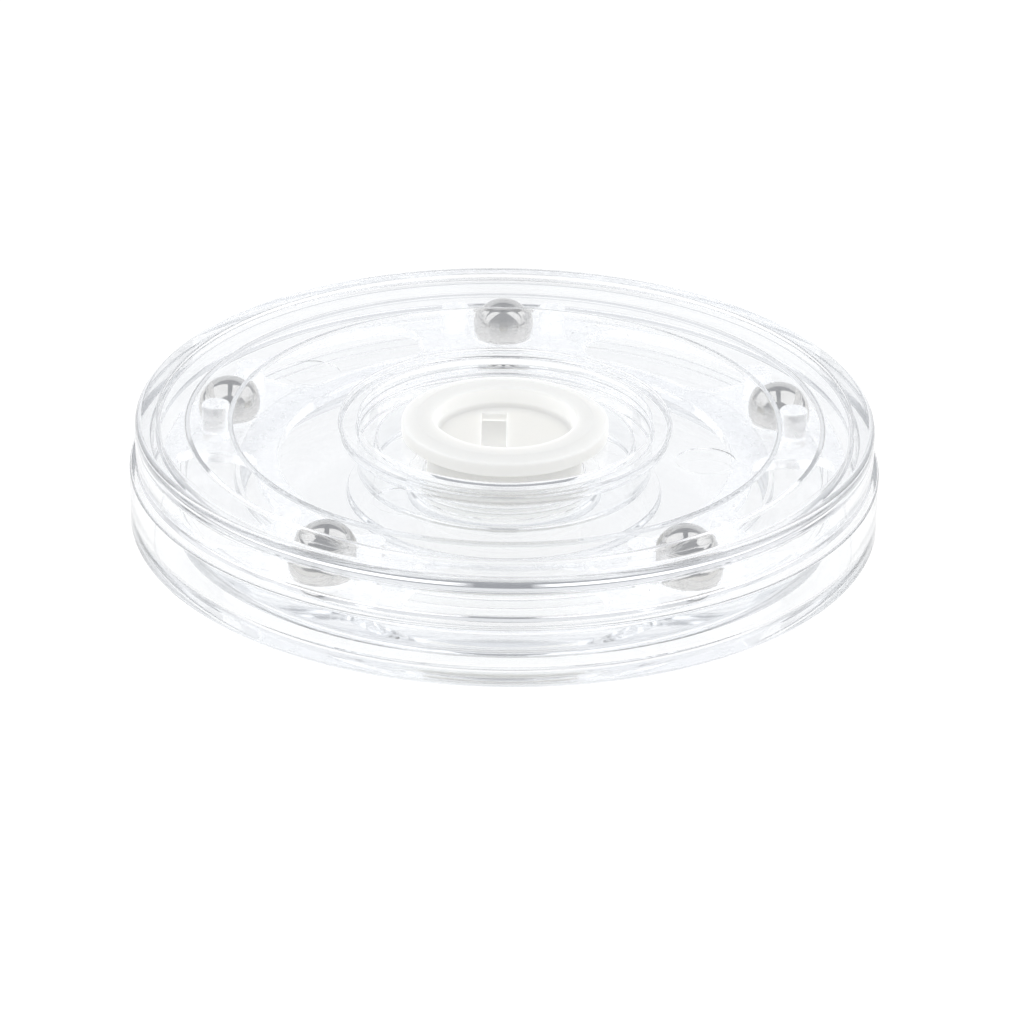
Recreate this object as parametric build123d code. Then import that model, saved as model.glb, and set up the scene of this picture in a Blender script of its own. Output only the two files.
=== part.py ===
from build123d import *
from math import degrees, radians, tan
import os

# Clear ball-bearing turntable: a base tray, a top plate that turns on five steel balls,
# a flat cage that keeps the balls apart, and a flanged spindle that holds the two shells
# together. Millimetres, +Z up, origin on the resting face at the centre of the spindle.

# Overall
BASE_RADIUS = 50.8
TOP_RADIUS = 50.0
RIM_HEIGHT = 15.4

# Balls and their tracks
BALL_COUNT = 5
BALL_RADIUS = 4.25
BALL_CIRCLE_RADIUS = 39.8
BALL_HEIGHT = 9.3
FIRST_BALL_ANGLE = 90.7
TRACK_PLAY = 0.05
LOWER_TRACK = BALL_HEIGHT - BALL_RADIUS - TRACK_PLAY
UPPER_TRACK = BALL_HEIGHT + BALL_RADIUS + TRACK_PLAY

# Base tray
FLOOR_TOP = 2.1
BASE_WALL_TOP = 8.65
BASE_WALL_INNER = 47.8
BASE_FOOT_FILLET = 0.9
TRACK_RING_INNER = 35.8
TRACK_RING_OUTER = 44.0
TRACK_RING_TOP = 6.1
TRACK_RING_ROOT = 1.0
TRACK_RIB = 0.8
BOSS_RADIUS = 21.3
BOSS_TOP = 3.0
SOCKET_INNER = 10.7
SOCKET_OUTER = 13.0
SOCKET_TOP = 6.0
SNAP_GROOVE_RADIUS = 11.15
SNAP_GROOVE_LOW = 3.7
SNAP_GROOVE_HIGH = 4.9

# Top plate
SKIRT_BOTTOM = 9.05
SKIRT_INNER = 47.0
PLATE_TOP = 14.9
PLATE_UNDERSIDE = 12.45
RIM_FILLET = 0.9
CHANNEL_INNER = 37.4
CHANNEL_OUTER = 42.7
CHANNEL_LIP = 0.8
LEDGE_RADIUS = 22.3
LEDGE_TOP = 14.55
WELL_RADIUS = 19.9
WELL_FLOOR = 12.25
CUP_BOTTOM = 10.5
TUBE_OUTER = 20.0
TUBE_INNER = 17.6
TUBE_BOTTOM = 5.45
SPINDLE_HOLE_RADIUS = 10.85
PAD_RADIUS = 4.0
PAD_CIRCLE_RADIUS = 29.8
PAD_DEPTH = 0.12
PAD_FIRST_ANGLE = 64.0

# Ball cage
CAGE_INNER = 30.7
CAGE_OUTER = 46.2
CAGE_BOTTOM = 6.3
CAGE_TOP = 7.8
POCKET_RADIUS = 4.15
WINDOW_INNER = 33.8
WINDOW_OUTER = 44.8
WINDOW_HALF_ANGLE = 18.5
WINDOW_CORNER = 4.5
POST_RADIUS = 1.9
POST_OFFSET = 6.9
POST_TOP = 12.85
POST_CHAMFER = 0.25

# Centre spindle
FLANGE_RADIUS = 14.0
FLANGE_BOTTOM = 12.35
FLANGE_TOP = 14.8
FLANGE_BEVEL_RADIUS = 12.0
FLANGE_EDGE_TOP = 14.35
DISH_RADIUS = 9.5
DISH_FLOOR = 12.05
DISH_THICKNESS = 1.2
SHANK_OUTER = 10.55
SHANK_INNER = 8.6
SHANK_BOTTOM = 3.05
BEAD_RADIUS = 10.95
BEAD_LOW = 3.9
BEAD_HIGH = 4.7
SLOT_WIDTH = 3.4
SLOT_LENGTH = 11.8
SLOT_CENTRE = (-1.5, 1.1)


def turned(outline):
    """Revolve a closed outline of (radius, height, fillet) corners about the Z axis."""
    corners = [(radius, height) for radius, height, rounding in outline]
    face = make_face(Polyline(*corners, close=True))
    for radius, height, rounding in outline:
        if rounding > 0:
            corner = face.vertices().sort_by_distance((radius, height, 0))[0]
            face = fillet(corner, rounding)
    return revolve(Plane.XZ * face, Axis.Z)


def ball_angle(index):
    return FIRST_BALL_ANGLE + index * 360 / BALL_COUNT


def on_ball_circle(angle, height):
    """Location on the ball circle, turned so that its own X axis points outward."""
    return Rot(0, 0, angle) * Pos(BALL_CIRCLE_RADIUS, 0, height)


def make_base_tray():
    return turned([
        (0, 0, 0),
        (BASE_RADIUS, 0, BASE_FOOT_FILLET),
        (BASE_RADIUS, BASE_WALL_TOP, 0.3),
        (BASE_WALL_INNER, BASE_WALL_TOP, 0.3),
        (BASE_WALL_INNER, FLOOR_TOP, 0.6),
        (TRACK_RING_OUTER, FLOOR_TOP, TRACK_RING_ROOT),
        (TRACK_RING_OUTER, TRACK_RING_TOP, 0.2),
        (TRACK_RING_OUTER - TRACK_RIB, TRACK_RING_TOP, 0.2),
        (TRACK_RING_OUTER - TRACK_RIB, LOWER_TRACK, 0.15),
        (TRACK_RING_INNER + TRACK_RIB, LOWER_TRACK, 0.15),
        (TRACK_RING_INNER + TRACK_RIB, TRACK_RING_TOP, 0.2),
        (TRACK_RING_INNER, TRACK_RING_TOP, 0.2),
        (TRACK_RING_INNER, FLOOR_TOP, TRACK_RING_ROOT),
        (BOSS_RADIUS, FLOOR_TOP, 0.25),
        (BOSS_RADIUS, BOSS_TOP, 0.25),
        (SOCKET_OUTER, BOSS_TOP, 0.4),
        (SOCKET_OUTER, SOCKET_TOP, 0.3),
        (SOCKET_INNER, SOCKET_TOP, 0.3),
        (SOCKET_INNER, SNAP_GROOVE_HIGH, 0),
        (SNAP_GROOVE_RADIUS, SNAP_GROOVE_HIGH - 0.3, 0),
        (SNAP_GROOVE_RADIUS, SNAP_GROOVE_LOW + 0.3, 0),
        (SOCKET_INNER, SNAP_GROOVE_LOW, 0),
        (SOCKET_INNER, BOSS_TOP, 0),
        (0, BOSS_TOP, 0),
    ])


def make_top_plate():
    plate = turned([
        (SPINDLE_HOLE_RADIUS, CUP_BOTTOM, 0.2),
        (TUBE_INNER, CUP_BOTTOM, 0.4),
        (TUBE_INNER, TUBE_BOTTOM, 0.3),
        (TUBE_OUTER, TUBE_BOTTOM, 0.3),
        (TUBE_OUTER, CUP_BOTTOM, 0.3),
        (LEDGE_RADIUS, CUP_BOTTOM, 0.4),
        (LEDGE_RADIUS, PLATE_UNDERSIDE, 0.4),
        (CHANNEL_INNER, PLATE_UNDERSIDE, CHANNEL_LIP),
        (CHANNEL_INNER, UPPER_TRACK, 0.1),
        (CHANNEL_OUTER, UPPER_TRACK, 0.1),
        (CHANNEL_OUTER, PLATE_UNDERSIDE, CHANNEL_LIP),
        (SKIRT_INNER, PLATE_UNDERSIDE, 0.5),
        (SKIRT_INNER, SKIRT_BOTTOM, 0.3),
        (TOP_RADIUS, SKIRT_BOTTOM, 0.3),
        (TOP_RADIUS, RIM_HEIGHT, RIM_FILLET),
        (SKIRT_INNER, RIM_HEIGHT, 0.2),
        (SKIRT_INNER, PLATE_TOP, 0.15),
        (LEDGE_RADIUS, PLATE_TOP, 0.1),
        (LEDGE_RADIUS, LEDGE_TOP, 0.1),
        (WELL_RADIUS, LEDGE_TOP, 0.15),
        (WELL_RADIUS, WELL_FLOOR, 0.3),
        (SPINDLE_HOLE_RADIUS, WELL_FLOOR, 0.2),
    ])
    for index in range(4):
        place = Rot(0, 0, PAD_FIRST_ANGLE + 90 * index)
        place *= Pos(PAD_CIRCLE_RADIUS, 0, PLATE_TOP)
        plate -= place * Cylinder(PAD_RADIUS, 2 * PAD_DEPTH)
    return plate


def make_cage_window():
    """Kidney-shaped window centred on the X axis, as a flat sketch."""
    reach = 2 * WINDOW_OUTER
    spread = reach * tan(radians(WINDOW_HALF_ANGLE))
    wedge = make_face(Polyline((0, 0), (reach, spread), (reach, -spread), close=True))
    window = (Circle(WINDOW_OUTER) - Circle(WINDOW_INNER)) & wedge
    return fillet(window.vertices(), WINDOW_CORNER)


def make_ball_cage():
    web = Circle(CAGE_OUTER) - Circle(CAGE_INNER)
    window = make_cage_window()
    for index in range(BALL_COUNT):
        angle = ball_angle(index)
        web -= Rot(0, 0, angle) * Pos(BALL_CIRCLE_RADIUS, 0) * Circle(POCKET_RADIUS)
        web -= Rot(0, 0, angle + 180 / BALL_COUNT) * window
    cage = Pos(0, 0, CAGE_BOTTOM) * extrude(web, CAGE_TOP - CAGE_BOTTOM)
    post_height = POST_TOP - CAGE_BOTTOM
    post_turn = degrees(POST_OFFSET / BALL_CIRCLE_RADIUS)
    post = Cylinder(POST_RADIUS, post_height, align=(Align.CENTER, Align.CENTER, Align.MIN))
    post = chamfer(post.edges().filter_by(GeomType.CIRCLE).sort_by(Axis.Z)[-1], POST_CHAMFER)
    for index in range(BALL_COUNT):
        for side in (-1, 1):
            cage += on_ball_circle(ball_angle(index) + side * post_turn, CAGE_BOTTOM) * post
    return cage


def make_centre_spindle():
    spindle = turned([
        (SHANK_INNER, SHANK_BOTTOM, 0.2),
        (SHANK_OUTER, SHANK_BOTTOM, 0.3),
        (SHANK_OUTER, BEAD_LOW, 0),
        (BEAD_RADIUS, BEAD_LOW + 0.25, 0),
        (BEAD_RADIUS, BEAD_HIGH - 0.25, 0),
        (SHANK_OUTER, BEAD_HIGH, 0),
        (SHANK_OUTER, FLANGE_BOTTOM, 0.15),
        (FLANGE_RADIUS, FLANGE_BOTTOM, 0.3),
        (FLANGE_RADIUS, FLANGE_EDGE_TOP, 0.4),
        (FLANGE_BEVEL_RADIUS, FLANGE_TOP, 0.8),
        (DISH_RADIUS, FLANGE_TOP, 0.4),
        (DISH_RADIUS, DISH_FLOOR, 0.8),
        (0, DISH_FLOOR, 0),
        (0, DISH_FLOOR - DISH_THICKNESS, 0),
        (SHANK_INNER, DISH_FLOOR - DISH_THICKNESS, 0.4),
    ])
    slot = Pos(*SLOT_CENTRE, DISH_FLOOR - DISH_THICKNESS / 2)
    slot *= Box(SLOT_WIDTH, SLOT_LENGTH, 2 * DISH_THICKNESS)
    return spindle - slot


def write(name, shape):
    export_step(shape, f"parts/{name}.step")


os.makedirs("parts", exist_ok=True)
write("base_tray", make_base_tray())
write("top_plate", make_top_plate())
write("ball_cage", make_ball_cage())
write("centre_spindle", make_centre_spindle())
for ball_index in range(BALL_COUNT):
    ball = on_ball_circle(ball_angle(ball_index), BALL_HEIGHT) * Sphere(BALL_RADIUS)
    write(f"steel_ball_{ball_index + 1}", ball)
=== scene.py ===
from math import acos, atan2, cos, pi, radians, sin, tan

import bmesh
import bpy
from mathutils import Matrix, Vector


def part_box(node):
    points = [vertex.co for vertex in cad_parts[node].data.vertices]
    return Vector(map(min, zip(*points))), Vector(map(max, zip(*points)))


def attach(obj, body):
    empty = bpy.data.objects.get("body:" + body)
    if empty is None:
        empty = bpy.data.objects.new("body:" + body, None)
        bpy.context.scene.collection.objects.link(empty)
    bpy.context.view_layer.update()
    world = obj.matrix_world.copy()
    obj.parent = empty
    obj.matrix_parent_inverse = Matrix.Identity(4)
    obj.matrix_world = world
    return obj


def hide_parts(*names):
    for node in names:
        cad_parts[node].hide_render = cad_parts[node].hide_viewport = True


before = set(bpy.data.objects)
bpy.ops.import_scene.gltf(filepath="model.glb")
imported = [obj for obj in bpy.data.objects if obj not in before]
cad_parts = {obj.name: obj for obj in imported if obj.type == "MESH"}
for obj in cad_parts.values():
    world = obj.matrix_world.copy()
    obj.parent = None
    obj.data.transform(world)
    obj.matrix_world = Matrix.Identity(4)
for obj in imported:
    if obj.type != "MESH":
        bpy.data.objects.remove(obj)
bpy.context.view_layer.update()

# A clear ball-bearing turntable. The two moulded shells, the ball cage, the spindle and the balls
# are built here as finely divided meshes, because clear plastic shows every facet. Outlines are
# in millimetres, as in the CAD source, and every mesh is scaled to metres when it is made.

MM = 0.001

# Sizes read from the frame
BALL_NODES = sorted(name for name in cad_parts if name.startswith("steel_ball"))


def node_box(name):
    """Lowest and highest corner of a CAD node, in millimetres."""
    low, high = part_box(name)
    return low / MM, high / MM


BASE_HIGH = node_box("base_tray")[1]
TOP_LOW, TOP_HIGH = node_box("top_plate")
CAGE_LOW, CAGE_HIGH = node_box("ball_cage")
SPINDLE_LOW, SPINDLE_HIGH = node_box("centre_spindle")
BALL_LOW, BALL_HIGH = node_box(BALL_NODES[0])
BASE_RADIUS = BASE_HIGH.x
BASE_WALL_TOP = BASE_HIGH.z
TOP_RADIUS = TOP_HIGH.x
RIM_HEIGHT = TOP_HIGH.z
TUBE_BOTTOM = TOP_LOW.z
CAGE_OUTER = CAGE_HIGH.x
CAGE_BOTTOM = CAGE_LOW.z
POST_TOP = CAGE_HIGH.z
FLANGE_RADIUS = SPINDLE_HIGH.x
FLANGE_TOP = SPINDLE_HIGH.z
SHANK_BOTTOM = SPINDLE_LOW.z
BALL_RADIUS = (BALL_HIGH.z - BALL_LOW.z) / 2
BALL_HEIGHT = (BALL_HIGH.z + BALL_LOW.z) / 2


def ball_centre(name):
    low, high = node_box(name)
    return (low + high) / 2


BALL_CENTRES = [ball_centre(name) for name in BALL_NODES]
BALL_CIRCLE_RADIUS = sum(centre.to_2d().length for centre in BALL_CENTRES) / len(BALL_CENTRES)
BALL_ANGLES = [atan2(centre.y, centre.x) for centre in BALL_CENTRES]

# Ball tracks
TRACK_PLAY = 0.05
LOWER_TRACK = BALL_HEIGHT - BALL_RADIUS - TRACK_PLAY
UPPER_TRACK = BALL_HEIGHT + BALL_RADIUS + TRACK_PLAY

# Base tray
FLOOR_TOP = 2.1
BASE_WALL_INNER = 47.8
BASE_FOOT_FILLET = 0.9
TRACK_RING_INNER = 35.8
TRACK_RING_OUTER = 44.0
TRACK_RING_TOP = 6.1
TRACK_RING_ROOT = 1.0
TRACK_RIB = 0.8
BOSS_RADIUS = 21.3
BOSS_TOP = 3.0
SOCKET_INNER = 10.7
SOCKET_OUTER = 13.0
SOCKET_TOP = 6.0
SNAP_GROOVE_RADIUS = 11.15
SNAP_GROOVE_LOW = 3.7
SNAP_GROOVE_HIGH = 4.9

# Top plate
SKIRT_BOTTOM = 9.05
SKIRT_INNER = 47.0
PLATE_TOP = 14.9
PLATE_UNDERSIDE = 12.45
RIM_FILLET = 0.9
CHANNEL_INNER = 37.4
CHANNEL_OUTER = 42.7
CHANNEL_LIP = 0.8
LEDGE_RADIUS = 22.3
LEDGE_TOP = 14.55
WELL_RADIUS = 19.9
WELL_FLOOR = 12.25
CUP_BOTTOM = 10.5
TUBE_OUTER = 20.0
TUBE_INNER = 17.6
SPINDLE_HOLE_RADIUS = 10.85
PAD_RADIUS = 4.0
PAD_CIRCLE_RADIUS = 29.8
PAD_DEPTH = 0.12
PAD_FIRST_ANGLE = 64.0
PAD_COUNT = 4

# Ball cage
CAGE_INNER = 30.7
CAGE_TOP = 7.8
CAGE_EDGE = 0.2
POCKET_RADIUS = 4.15
WINDOW_INNER = 33.8
WINDOW_OUTER = 44.8
WINDOW_HALF_ANGLE = radians(18.5)
WINDOW_CORNER = 4.5
POST_RADIUS = 1.9
POST_OFFSET = 6.9
POST_CHAMFER = 0.25

# Centre spindle
FLANGE_BOTTOM = 12.35
FLANGE_BEVEL_RADIUS = 12.0
FLANGE_EDGE_TOP = 14.35
DISH_RADIUS = 9.5
DISH_FLOOR = 12.05
DISH_THICKNESS = 1.2
SHANK_OUTER = 10.55
SHANK_INNER = 8.6
BEAD_RADIUS = 10.95
BEAD_LOW = 3.9
BEAD_HIGH = 4.7
SLOT_WIDTH = 3.4
SLOT_LENGTH = 11.8
SLOT_CENTRE = Vector((-1.5, 1.1))

# Painted glow of the milky plastic, set by height in place of light coming through it from beneath:
# (height in millimetres, strength) from the shank up to the flange
MILKY_PAINTED_GLOW = (
    (SHANK_BOTTOM, 0.70),
    (DISH_FLOOR, 0.375),
    (FLANGE_BOTTOM + 0.3, 0.61),
    (14.2, 0.58),
    (FLANGE_TOP, 0.475),
)

# Fineness
TURNS = 360
SPINDLE_TURNS = 240
CAGE_STEPS = 240
POCKET_STEPS = 72
POST_TURNS = 72
PAD_TURNS = 96
WINDOW_STEPS = 40
CORNER_STEPS = 12
BALL_CUTS = 31
FILLET_STEP = radians(9)
SHARP_ANGLE = radians(40)
ON_AXIS = 1e-6
WELD_DISTANCE = 1e-6
CIRCLE_PULL = 0.552


# ---------------------------------------------------------------- outlines


def rounded_corner(before, corner, after, radius):
    """Points of the tangent arc that rounds a corner of an outline."""
    back = (before - corner).normalized()
    ahead = (after - corner).normalized()
    opening = acos(max(-1.0, min(1.0, back.dot(ahead))))
    reach = radius / tan(opening / 2)
    centre = corner + (back + ahead).normalized() * radius / sin(opening / 2)
    first = corner + back * reach - centre
    last = corner + ahead * reach - centre
    turn = first.angle_signed(last)
    steps = max(2, round(abs(turn) / FILLET_STEP))
    return [centre + turned(first, turn * step / steps) for step in range(steps + 1)]


def turned(vector, angle):
    """A 2D vector turned clockwise, the way angle_signed counts."""
    return vector @ Matrix.Rotation(angle, 2)


def rounded(outline):
    """Closed outline of (radius, height, fillet) corners as a list of 2D points."""
    corners = [Vector((radius, height)) for radius, height, _ in outline]
    points = []
    for index, (_, _, fillet) in enumerate(outline):
        if fillet > 0:
            before = corners[index - 1]
            after = corners[(index + 1) % len(corners)]
            points += rounded_corner(before, corners[index], after, fillet)
        else:
            points.append(corners[index])
    return points


# ---------------------------------------------------------------- meshes


def new_object(name, data):
    piece = bpy.data.objects.new(name, data)
    bpy.context.scene.collection.objects.link(piece)
    return piece


def lathe(name, points, turns=TURNS):
    """Mesh of a closed outline turned about the Z axis, with one vertex where it meets the axis."""
    vertices = []
    rings = []
    for radius, height in points:
        if radius < ON_AXIS:
            rings.append([len(vertices)] * turns)
            vertices.append((0, 0, height * MM))
            continue
        rings.append([len(vertices) + step for step in range(turns)])
        for step in range(turns):
            angle = 2 * pi * step / turns
            vertices.append((radius * cos(angle) * MM, radius * sin(angle) * MM, height * MM))
    faces = []
    for ring, following in zip(rings, rings[1:] + rings[:1]):
        for step in range(turns):
            ahead = (step + 1) % turns
            face = [ring[step], following[step], following[ahead], ring[ahead]]
            corners = list(dict.fromkeys(face))
            if len(corners) > 2:
                faces.append(corners)
    mesh = bpy.data.meshes.new(name)
    mesh.from_pydata(vertices, [], faces)
    mesh.validate()
    return new_object(name, mesh)


def face_outward(piece):
    """Turns every face of a closed mesh outward."""
    shape = bmesh.new()
    shape.from_mesh(piece.data)
    bmesh.ops.recalc_face_normals(shape, faces=shape.faces)
    if shape.calc_volume(signed=True) < 0:
        bmesh.ops.reverse_faces(shape, faces=shape.faces)
    shape.to_mesh(piece.data)
    shape.free()


def combine(piece, tool, operation):
    """Applies a boolean of another object to a piece and removes that object."""
    change = piece.modifiers.new(operation, "BOOLEAN")
    change.operation = operation
    change.solver = "EXACT"
    change.object = tool
    graph = bpy.context.evaluated_depsgraph_get()
    mesh = bpy.data.meshes.new_from_object(piece.evaluated_get(graph))
    piece.modifiers.clear()
    piece.data = mesh
    bpy.data.objects.remove(tool)


def soften(piece):
    """Smooth shading with true flats: sharp edges by angle, then area-weighted normals."""
    face_outward(piece)
    for face in piece.data.polygons:
        face.use_smooth = True
    piece.data.set_sharp_from_angle(angle=SHARP_ANGLE)
    weighting = piece.modifiers.new("true_flats", "WEIGHTED_NORMAL")
    weighting.weight = 100
    weighting.keep_sharp = True
    return piece


def make_pad_cutter():
    """Short cylinder on the Z axis that sinks an ejector mark into the top plate."""
    low = PLATE_TOP - PAD_DEPTH
    high = PLATE_TOP + PAD_DEPTH
    outline = [(0, low), (PAD_RADIUS, low), (PAD_RADIUS, high), (0, high)]
    cutter = lathe("pad_cutter", outline, PAD_TURNS)
    face_outward(cutter)
    return cutter


def make_base_tray():
    outline = rounded([
        (0, 0, 0),
        (BASE_RADIUS, 0, BASE_FOOT_FILLET),
        (BASE_RADIUS, BASE_WALL_TOP, 0.3),
        (BASE_WALL_INNER, BASE_WALL_TOP, 0.3),
        (BASE_WALL_INNER, FLOOR_TOP, 0.6),
        (TRACK_RING_OUTER, FLOOR_TOP, TRACK_RING_ROOT),
        (TRACK_RING_OUTER, TRACK_RING_TOP, 0.2),
        (TRACK_RING_OUTER - TRACK_RIB, TRACK_RING_TOP, 0.2),
        (TRACK_RING_OUTER - TRACK_RIB, LOWER_TRACK, 0.15),
        (TRACK_RING_INNER + TRACK_RIB, LOWER_TRACK, 0.15),
        (TRACK_RING_INNER + TRACK_RIB, TRACK_RING_TOP, 0.2),
        (TRACK_RING_INNER, TRACK_RING_TOP, 0.2),
        (TRACK_RING_INNER, FLOOR_TOP, TRACK_RING_ROOT),
        (BOSS_RADIUS, FLOOR_TOP, 0.25),
        (BOSS_RADIUS, BOSS_TOP, 0.25),
        (SOCKET_OUTER, BOSS_TOP, 0.4),
        (SOCKET_OUTER, SOCKET_TOP, 0.3),
        (SOCKET_INNER, SOCKET_TOP, 0.3),
        (SOCKET_INNER, SNAP_GROOVE_HIGH, 0),
        (SNAP_GROOVE_RADIUS, SNAP_GROOVE_HIGH - 0.3, 0),
        (SNAP_GROOVE_RADIUS, SNAP_GROOVE_LOW + 0.3, 0),
        (SOCKET_INNER, SNAP_GROOVE_LOW, 0),
        (SOCKET_INNER, BOSS_TOP, 0),
        (0, BOSS_TOP, 0),
    ])
    return soften(lathe("base_tray_clear", outline))


def make_top_plate():
    outline = rounded([
        (SPINDLE_HOLE_RADIUS, CUP_BOTTOM, 0.2),
        (TUBE_INNER, CUP_BOTTOM, 0.4),
        (TUBE_INNER, TUBE_BOTTOM, 0.3),
        (TUBE_OUTER, TUBE_BOTTOM, 0.3),
        (TUBE_OUTER, CUP_BOTTOM, 0.3),
        (LEDGE_RADIUS, CUP_BOTTOM, 0.4),
        (LEDGE_RADIUS, PLATE_UNDERSIDE, 0.4),
        (CHANNEL_INNER, PLATE_UNDERSIDE, CHANNEL_LIP),
        (CHANNEL_INNER, UPPER_TRACK, 0.1),
        (CHANNEL_OUTER, UPPER_TRACK, 0.1),
        (CHANNEL_OUTER, PLATE_UNDERSIDE, CHANNEL_LIP),
        (SKIRT_INNER, PLATE_UNDERSIDE, 0.5),
        (SKIRT_INNER, SKIRT_BOTTOM, 0.3),
        (TOP_RADIUS, SKIRT_BOTTOM, 0.3),
        (TOP_RADIUS, RIM_HEIGHT, RIM_FILLET),
        (SKIRT_INNER, RIM_HEIGHT, 0.2),
        (SKIRT_INNER, PLATE_TOP, 0.15),
        (LEDGE_RADIUS, PLATE_TOP, 0.1),
        (LEDGE_RADIUS, LEDGE_TOP, 0.1),
        (WELL_RADIUS, LEDGE_TOP, 0.15),
        (WELL_RADIUS, WELL_FLOOR, 0.3),
        (SPINDLE_HOLE_RADIUS, WELL_FLOOR, 0.2),
    ])
    plate = lathe("top_plate_clear", outline)
    face_outward(plate)
    for index in range(PAD_COUNT):
        cutter = make_pad_cutter()
        angle = radians(PAD_FIRST_ANGLE) + 2 * pi * index / PAD_COUNT
        cutter.location = Vector((cos(angle), sin(angle), 0)) * PAD_CIRCLE_RADIUS * MM
        combine(plate, cutter, "DIFFERENCE")
    return soften(plate)


def make_centre_spindle():
    outline = rounded([
        (SHANK_INNER, SHANK_BOTTOM, 0.2),
        (SHANK_OUTER, SHANK_BOTTOM, 0.3),
        (SHANK_OUTER, BEAD_LOW, 0),
        (BEAD_RADIUS, BEAD_LOW + 0.25, 0),
        (BEAD_RADIUS, BEAD_HIGH - 0.25, 0),
        (SHANK_OUTER, BEAD_HIGH, 0),
        (SHANK_OUTER, FLANGE_BOTTOM, 0.15),
        (FLANGE_RADIUS, FLANGE_BOTTOM, 0.3),
        (FLANGE_RADIUS, FLANGE_EDGE_TOP, 0.4),
        (FLANGE_BEVEL_RADIUS, FLANGE_TOP, 0.8),
        (DISH_RADIUS, FLANGE_TOP, 0.4),
        (DISH_RADIUS, DISH_FLOOR, 0.8),
        (0, DISH_FLOOR, 0),
        (0, DISH_FLOOR - DISH_THICKNESS, 0),
        (SHANK_INNER, DISH_FLOOR - DISH_THICKNESS, 0.4),
    ])
    spindle = lathe("centre_spindle_milky", outline, SPINDLE_TURNS)
    face_outward(spindle)
    combine(spindle, make_slot_cutter(), "DIFFERENCE")
    return soften(spindle)


def make_slot_cutter():
    shape = bmesh.new()
    size = Vector((SLOT_WIDTH, SLOT_LENGTH, 2 * DISH_THICKNESS)) * MM
    bmesh.ops.create_cube(shape, size=1, matrix=Matrix.Diagonal(size).to_4x4())
    mesh = bpy.data.meshes.new("slot_cutter")
    shape.to_mesh(mesh)
    shape.free()
    cutter = new_object("slot_cutter", mesh)
    middle = DISH_FLOOR - DISH_THICKNESS / 2
    cutter.location = Vector((SLOT_CENTRE.x, SLOT_CENTRE.y, middle)) * MM
    return cutter


def circle_points(centre, radius, steps):
    angles = [2 * pi * step / steps for step in range(steps)]
    return [centre + Vector((cos(a), sin(a))) * radius for a in angles]


def arc_points(radius, start, stop, steps):
    angles = [start + (stop - start) * step / steps for step in range(steps + 1)]
    return [Vector((cos(a), sin(a))) * radius for a in angles]


def window_points(middle):
    """Kidney-shaped window of the cage with rounded corners, centred on an angle."""
    inner_turn = WINDOW_HALF_ANGLE - WINDOW_CORNER / WINDOW_INNER
    outer_turn = WINDOW_HALF_ANGLE - WINDOW_CORNER / WINDOW_OUTER
    outer = arc_points(WINDOW_OUTER, middle - outer_turn, middle + outer_turn, WINDOW_STEPS)
    inner = arc_points(WINDOW_INNER, middle + inner_turn, middle - inner_turn, WINDOW_STEPS)
    far = corner_curve(outer[-1], WINDOW_OUTER, middle + WINDOW_HALF_ANGLE, inner[0])
    near = corner_curve(inner[-1], WINDOW_INNER, middle - WINDOW_HALF_ANGLE, outer[0])
    return outer + far + inner + near


def corner_curve(start, start_radius, side_angle, stop):
    """End of a window: a rounded corner, a short straight side and another rounded corner."""
    side = Vector((cos(side_angle), sin(side_angle)))
    start_corner = side * start_radius
    stop_radius = stop.length
    stop_corner = side * stop_radius
    inward = 1 if stop_radius > start_radius else -1
    side_start = side * (start_radius + inward * WINDOW_CORNER)
    side_stop = side * (stop_radius - inward * WINDOW_CORNER)
    first = bezier(start, start_corner, side_start)
    second = bezier(side_stop, stop_corner, stop)
    return first[1:] + second[:-1]


def bezier(start, corner, stop):
    """Rounding between two tangent points, close to a circular arc."""
    a = start.lerp(corner, CIRCLE_PULL)
    b = stop.lerp(corner, CIRCLE_PULL)
    points = []
    for step in range(CORNER_STEPS + 1):
        t = step / CORNER_STEPS
        ends = start * (1 - t) ** 3 + stop * t ** 3
        points.append(ends + a * 3 * t * (1 - t) ** 2 + b * 3 * t * t * (1 - t))
    return points


def cage_loops():
    """Outline of the cage's web, with its hole, ball pockets and windows."""
    loops = [
        circle_points(Vector((0, 0)), CAGE_OUTER, CAGE_STEPS),
        circle_points(Vector((0, 0)), CAGE_INNER, CAGE_STEPS),
    ]
    for angle in BALL_ANGLES:
        centre = Vector((cos(angle), sin(angle))) * BALL_CIRCLE_RADIUS
        loops.append(circle_points(centre, POCKET_RADIUS, POCKET_STEPS))
        loops.append(window_points(angle + pi / len(BALL_ANGLES)))
    return loops


def make_cage_web():
    """Flat web of the cage, filled between its loops, with rounded edges."""
    curve = bpy.data.curves.new("cage_web", "CURVE")
    curve.dimensions = "2D"
    curve.fill_mode = "BOTH"
    curve.extrude = ((CAGE_TOP - CAGE_BOTTOM) / 2 - CAGE_EDGE) * MM
    curve.bevel_depth = CAGE_EDGE * MM
    curve.bevel_resolution = 3
    curve.offset = -CAGE_EDGE * MM
    for loop in cage_loops():
        spline = curve.splines.new("POLY")
        spline.points.add(len(loop) - 1)
        for point, spot in zip(spline.points, loop):
            point.co = (spot.x * MM, spot.y * MM, 0, 1)
        spline.use_cyclic_u = True
    holder = new_object("cage_web_curve", curve)
    graph = bpy.context.evaluated_depsgraph_get()
    mesh = bpy.data.meshes.new_from_object(holder.evaluated_get(graph))
    mesh.transform(Matrix.Translation((0, 0, (CAGE_TOP + CAGE_BOTTOM) / 2 * MM)))
    bpy.data.objects.remove(holder)
    web = new_object("ball_cage_clear", mesh)
    weld(web)
    return web


def weld(piece):
    shape = bmesh.new()
    shape.from_mesh(piece.data)
    bmesh.ops.remove_doubles(shape, verts=shape.verts, dist=WELD_DISTANCE)
    shape.to_mesh(piece.data)
    shape.free()


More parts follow.
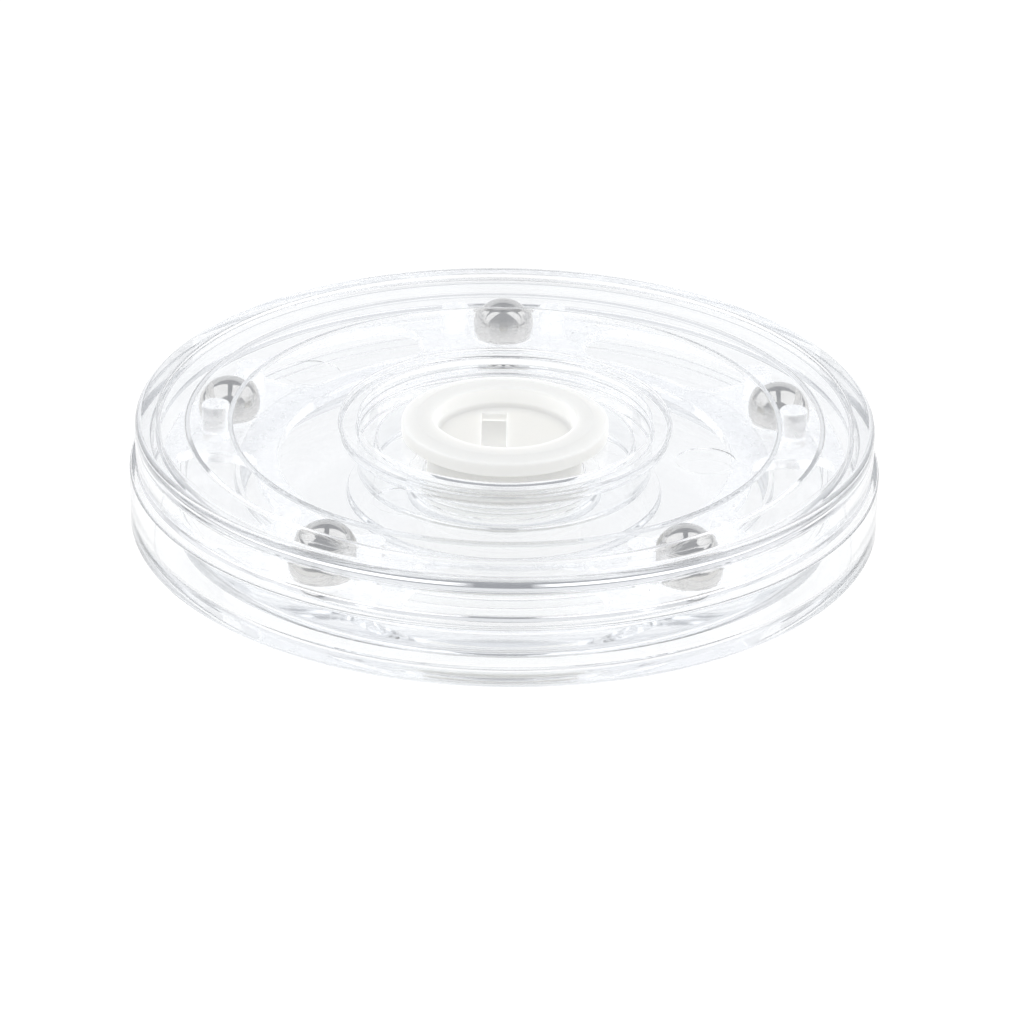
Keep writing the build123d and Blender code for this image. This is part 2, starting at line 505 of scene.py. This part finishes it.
def make_ball_cage():
    cage = make_cage_web()
    face_outward(cage)
    post_turn = POST_OFFSET / BALL_CIRCLE_RADIUS
    outline = rounded([
        (0, CAGE_BOTTOM, 0),
        (POST_RADIUS, CAGE_BOTTOM, 0.2),
        (POST_RADIUS, POST_TOP, POST_CHAMFER),
        (0, POST_TOP, 0),
    ])
    for angle in BALL_ANGLES:
        for side in (-1, 1):
            post = lathe("post", outline, POST_TURNS)
            face_outward(post)
            post_angle = angle + side * post_turn
            spot = Vector((cos(post_angle), sin(post_angle), 0))
            post.location = spot * BALL_CIRCLE_RADIUS * MM
            combine(cage, post, "UNION")
    return soften(cage)


def make_ball(name, centre):
    """Bearing ball from a subdivided cube pushed out to a true sphere."""
    shape = bmesh.new()
    bmesh.ops.create_cube(shape, size=2)
    bmesh.ops.subdivide_edges(shape, edges=shape.edges, cuts=BALL_CUTS, use_grid_fill=True)
    for vertex in shape.verts:
        vertex.co = (centre + vertex.co.normalized() * BALL_RADIUS) * MM
    mesh = bpy.data.meshes.new(name)
    shape.to_mesh(mesh)
    shape.free()
    for face in mesh.polygons:
        face.use_smooth = True
    return new_object(name, mesh)


# ---------------------------------------------------------------- materials


def new_material(name):
    material = bpy.data.materials.new(name)
    material.use_nodes = True
    tree = material.node_tree
    shader = tree.nodes["Principled BSDF"]
    return material, tree, shader


def add_node(tree, kind, **inputs):
    """Adds a shader node and sets inputs by name, with spaces written as underscores."""
    made = tree.nodes.new(kind)
    for key, value in inputs.items():
        made.inputs[key.replace("_", " ")].default_value = value
    return made


def object_position(tree):
    return tree.nodes.new("ShaderNodeTexCoord").outputs["Object"]


def noise(tree, scale, detail=4.0):
    made = add_node(tree, "ShaderNodeTexNoise", Scale=scale, Detail=detail, Roughness=0.55)
    tree.links.new(object_position(tree), made.inputs["Vector"])
    return made.outputs["Fac"]


def mapped(tree, value, low, high, to_low, to_high):
    """A value moved from one range to another, and kept inside it."""
    made = add_node(
        tree, "ShaderNodeMapRange", From_Min=low, From_Max=high, To_Min=to_low, To_Max=to_high
    )
    tree.links.new(value, made.inputs["Value"])
    return made.outputs["Result"]


def bump(tree, shader, height, strength, distance):
    """Fine surface relief, with its distance in metres."""
    made = add_node(tree, "ShaderNodeBump", Strength=strength, Distance=distance)
    tree.links.new(height, made.inputs["Height"])
    tree.links.new(made.outputs["Normal"], shader.inputs["Normal"])


def absorb(tree, colour, density):
    """Tint that deepens with the length of the way through the plastic."""
    volume = add_node(tree, "ShaderNodeVolumeAbsorption", Color=(*colour, 1), Density=density)
    tree.links.new(volume.outputs["Volume"], tree.nodes["Material Output"].inputs["Volume"])


def clear_plastic():
    material, tree, shader = new_material("clear_plastic")
    shader.inputs["Base Color"].default_value = (0.972, 0.977, 0.981, 1)
    shader.inputs["Transmission Weight"].default_value = 1.0
    shader.inputs["IOR"].default_value = 1.57
    wear = noise(tree, 900.0, detail=6.0)
    tree.links.new(mapped(tree, wear, 0.3, 0.7, 0.01, 0.03), shader.inputs["Roughness"])
    absorb(tree, (0.84, 0.89, 0.95), 2.5)
    return material


def cage_plastic():
    material, tree, shader = new_material("cage_plastic")
    shader.inputs["Base Color"].default_value = (0.97, 0.975, 0.985, 1)
    shader.inputs["Transmission Weight"].default_value = 1.0
    shader.inputs["IOR"].default_value = 1.5
    haze = noise(tree, 600.0)
    tree.links.new(mapped(tree, haze, 0.3, 0.7, 0.18, 0.30), shader.inputs["Roughness"])
    bump(tree, shader, haze, 0.1, 0.00003)
    # Painted glow: a faint even emission that brightens the clear cage
    shader.inputs["Emission Color"].default_value = (0.97, 0.98, 1.0, 1)
    shader.inputs["Emission Strength"].default_value = 0.11
    return material


def painted_milky_glow(tree):
    """Painted glow for the milky plastic, set by height, in place of light that comes through it
    from beneath.
    """
    height = tree.nodes.new("ShaderNodeSeparateXYZ")
    tree.links.new(object_position(tree), height.inputs["Vector"])
    span = mapped(tree, height.outputs["Z"], 0.0, FLANGE_TOP * MM, 0.0, 1.0)
    ramp = tree.nodes.new("ShaderNodeValToRGB")
    tree.links.new(span, ramp.inputs["Fac"])
    levels = ramp.color_ramp.elements
    levels.remove(levels[0])
    for index, (height_mm, level) in enumerate(MILKY_PAINTED_GLOW):
        element = levels[0] if index == 0 else levels.new(height_mm / FLANGE_TOP)
        element.position = height_mm / FLANGE_TOP
        element.color = (level * 0.995, level, level * 0.99, 1)
    return ramp.outputs["Color"]


def milky_plastic():
    material, tree, shader = new_material("milky_plastic")
    shader.inputs["Base Color"].default_value = (0.414, 0.414, 0.405, 1)
    # Emission carries the painted glow, so the milky part shines though it is no lamp
    tree.links.new(painted_milky_glow(tree), shader.inputs["Emission Color"])
    shader.inputs["Emission Strength"].default_value = 1.0
    shader.inputs["IOR"].default_value = 1.5
    shader.inputs["Subsurface Weight"].default_value = 1.0
    shader.inputs["Subsurface Radius"].default_value = (1.0, 0.95, 0.85)
    shader.inputs["Subsurface Scale"].default_value = 0.006
    grain = noise(tree, 1500.0)
    tree.links.new(mapped(tree, grain, 0.3, 0.7, 0.30, 0.38), shader.inputs["Roughness"])
    bump(tree, shader, grain, 0.1, 0.00002)
    return material


def polished_steel():
    material, tree, shader = new_material("polished_steel")
    shader.inputs["Base Color"].default_value = (0.66, 0.648, 0.63, 1)
    shader.inputs["Metallic"].default_value = 1.0
    wear = noise(tree, 2500.0, detail=8.0)
    tree.links.new(mapped(tree, wear, 0.4, 0.8, 0.03, 0.12), shader.inputs["Roughness"])
    return material


# ---------------------------------------------------------------- studio


# Camera, in metres
PIVOT = Vector((0, 0, 0.01065))
AIM = Vector((0.00114, -0.00392, 0.00235))
CAMERA_ELEVATION = radians(25.3)
CAMERA_DISTANCE = 0.7
CAMERA_ROLL = radians(1.0)
LENS = 181.4

# Background and lights: radiances, and sizes in metres
ROOM = (0.305, 0.316, 0.342)
PANEL_RADIANCE = 1.1
PANEL_SIZE = (1.13, 0.8)
PANEL_DISTANCE = 0.72
PANEL_LEAN = radians(45)
BACKDROP_RADIANCE = 0.5
BACKDROP_SIZE = (2.4, 1.0)
BACKDROP_DISTANCE = 1.2
FLOOR_GLOW = 1.055
FLOOR_REACH = 3.0
FLOOR_GAP = 0.00002


def make_camera():
    data = bpy.data.cameras.new("camera")
    data.lens = LENS
    data.sensor_width = 36
    camera = new_object("camera", data)
    back = Vector((0, -cos(CAMERA_ELEVATION), sin(CAMERA_ELEVATION)))
    camera.location = PIVOT + back * CAMERA_DISTANCE
    facing = (AIM - camera.location).to_track_quat("-Z", "Y").to_matrix()
    camera.rotation_euler = (facing @ Matrix.Rotation(CAMERA_ROLL, 3, "Z")).to_euler()
    bpy.context.scene.camera = camera


def make_light(name, size, radiance):
    """Rectangular soft light with a known radiance."""
    data = bpy.data.lights.new(name, "AREA")
    data.shape = "RECTANGLE"
    data.size, data.size_y = size
    data.energy = radiance * pi * size[0] * size[1]
    return new_object(name, data)


def make_panel(side):
    """Large soft light that leans over the object from one side."""
    panel = make_light(f"soft_panel_{side}", PANEL_SIZE, PANEL_RADIANCE)
    panel.location = Vector((side * sin(PANEL_LEAN), 0, cos(PANEL_LEAN))) * PANEL_DISTANCE
    panel.rotation_euler = (0, side * PANEL_LEAN, 0)


def make_backdrop():
    """Pale wall of light behind the object. It veils the plate and lights the far walls."""
    backdrop = make_light("backdrop", BACKDROP_SIZE, BACKDROP_RADIANCE)
    backdrop.location = (0, BACKDROP_DISTANCE, BACKDROP_SIZE[1] / 2)
    backdrop.rotation_euler = (radians(-90), 0, 0)


def make_floor():
    """Plain pale table that shines softly, so that it stays white around the object."""
    mesh = bpy.data.meshes.new("floor")
    reach = FLOOR_REACH
    corners = [(-reach, -reach, 0), (reach, -reach, 0), (reach, reach, 0), (-reach, reach, 0)]
    mesh.from_pydata(corners, [], [(0, 1, 2, 3)])
    floor = new_object("floor", mesh)
    floor.location.z = -FLOOR_GAP
    material, tree, shader = new_material("pale_floor")
    shader.inputs["Base Color"].default_value = (0.05, 0.05, 0.05, 1)
    shader.inputs["Roughness"].default_value = 0.9
    shader.inputs["Specular IOR Level"].default_value = 0.0
    shader.inputs["Emission Color"].default_value = (1, 1, 1, 1)
    shader.inputs["Emission Strength"].default_value = FLOOR_GLOW
    mesh.materials.append(material)


def make_room():
    """Dim room around the lights, and enough bounces for light inside the clear shells."""
    scene = bpy.context.scene
    scene.world = bpy.data.worlds.new("room")
    scene.world.use_nodes = True
    background = scene.world.node_tree.nodes["Background"]
    background.inputs["Color"].default_value = (*ROOM, 1)
    scene.view_settings.view_transform = "Standard"
    scene.cycles.max_bounces = 48
    scene.cycles.transmission_bounces = 48
    scene.cycles.glossy_bounces = 32


# ---------------------------------------------------------------- assembly


def place(piece, material, body, node_name):
    """Gives a piece its material, parents it to its body's empty and hides the CAD node it stands
    in for.
    """
    piece.data.materials.clear()
    piece.data.materials.append(material)
    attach(piece, body)
    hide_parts(node_name)


make_camera()
make_room()
make_floor()
for panel_side in (-1, 1):
    make_panel(panel_side)
make_backdrop()

clear = clear_plastic()
steel = polished_steel()
place(make_base_tray(), clear, "base", "base_tray")
place(make_top_plate(), clear, "top", "top_plate")
place(make_ball_cage(), cage_plastic(), "cage", "ball_cage")
place(make_centre_spindle(), milky_plastic(), "base", "centre_spindle")
for number, centre in enumerate(BALL_CENTRES, 1):
    ball = make_ball(f"bearing_ball_{number}", centre)
    place(ball, steel, f"ball_{number}", f"steel_ball_{number}")
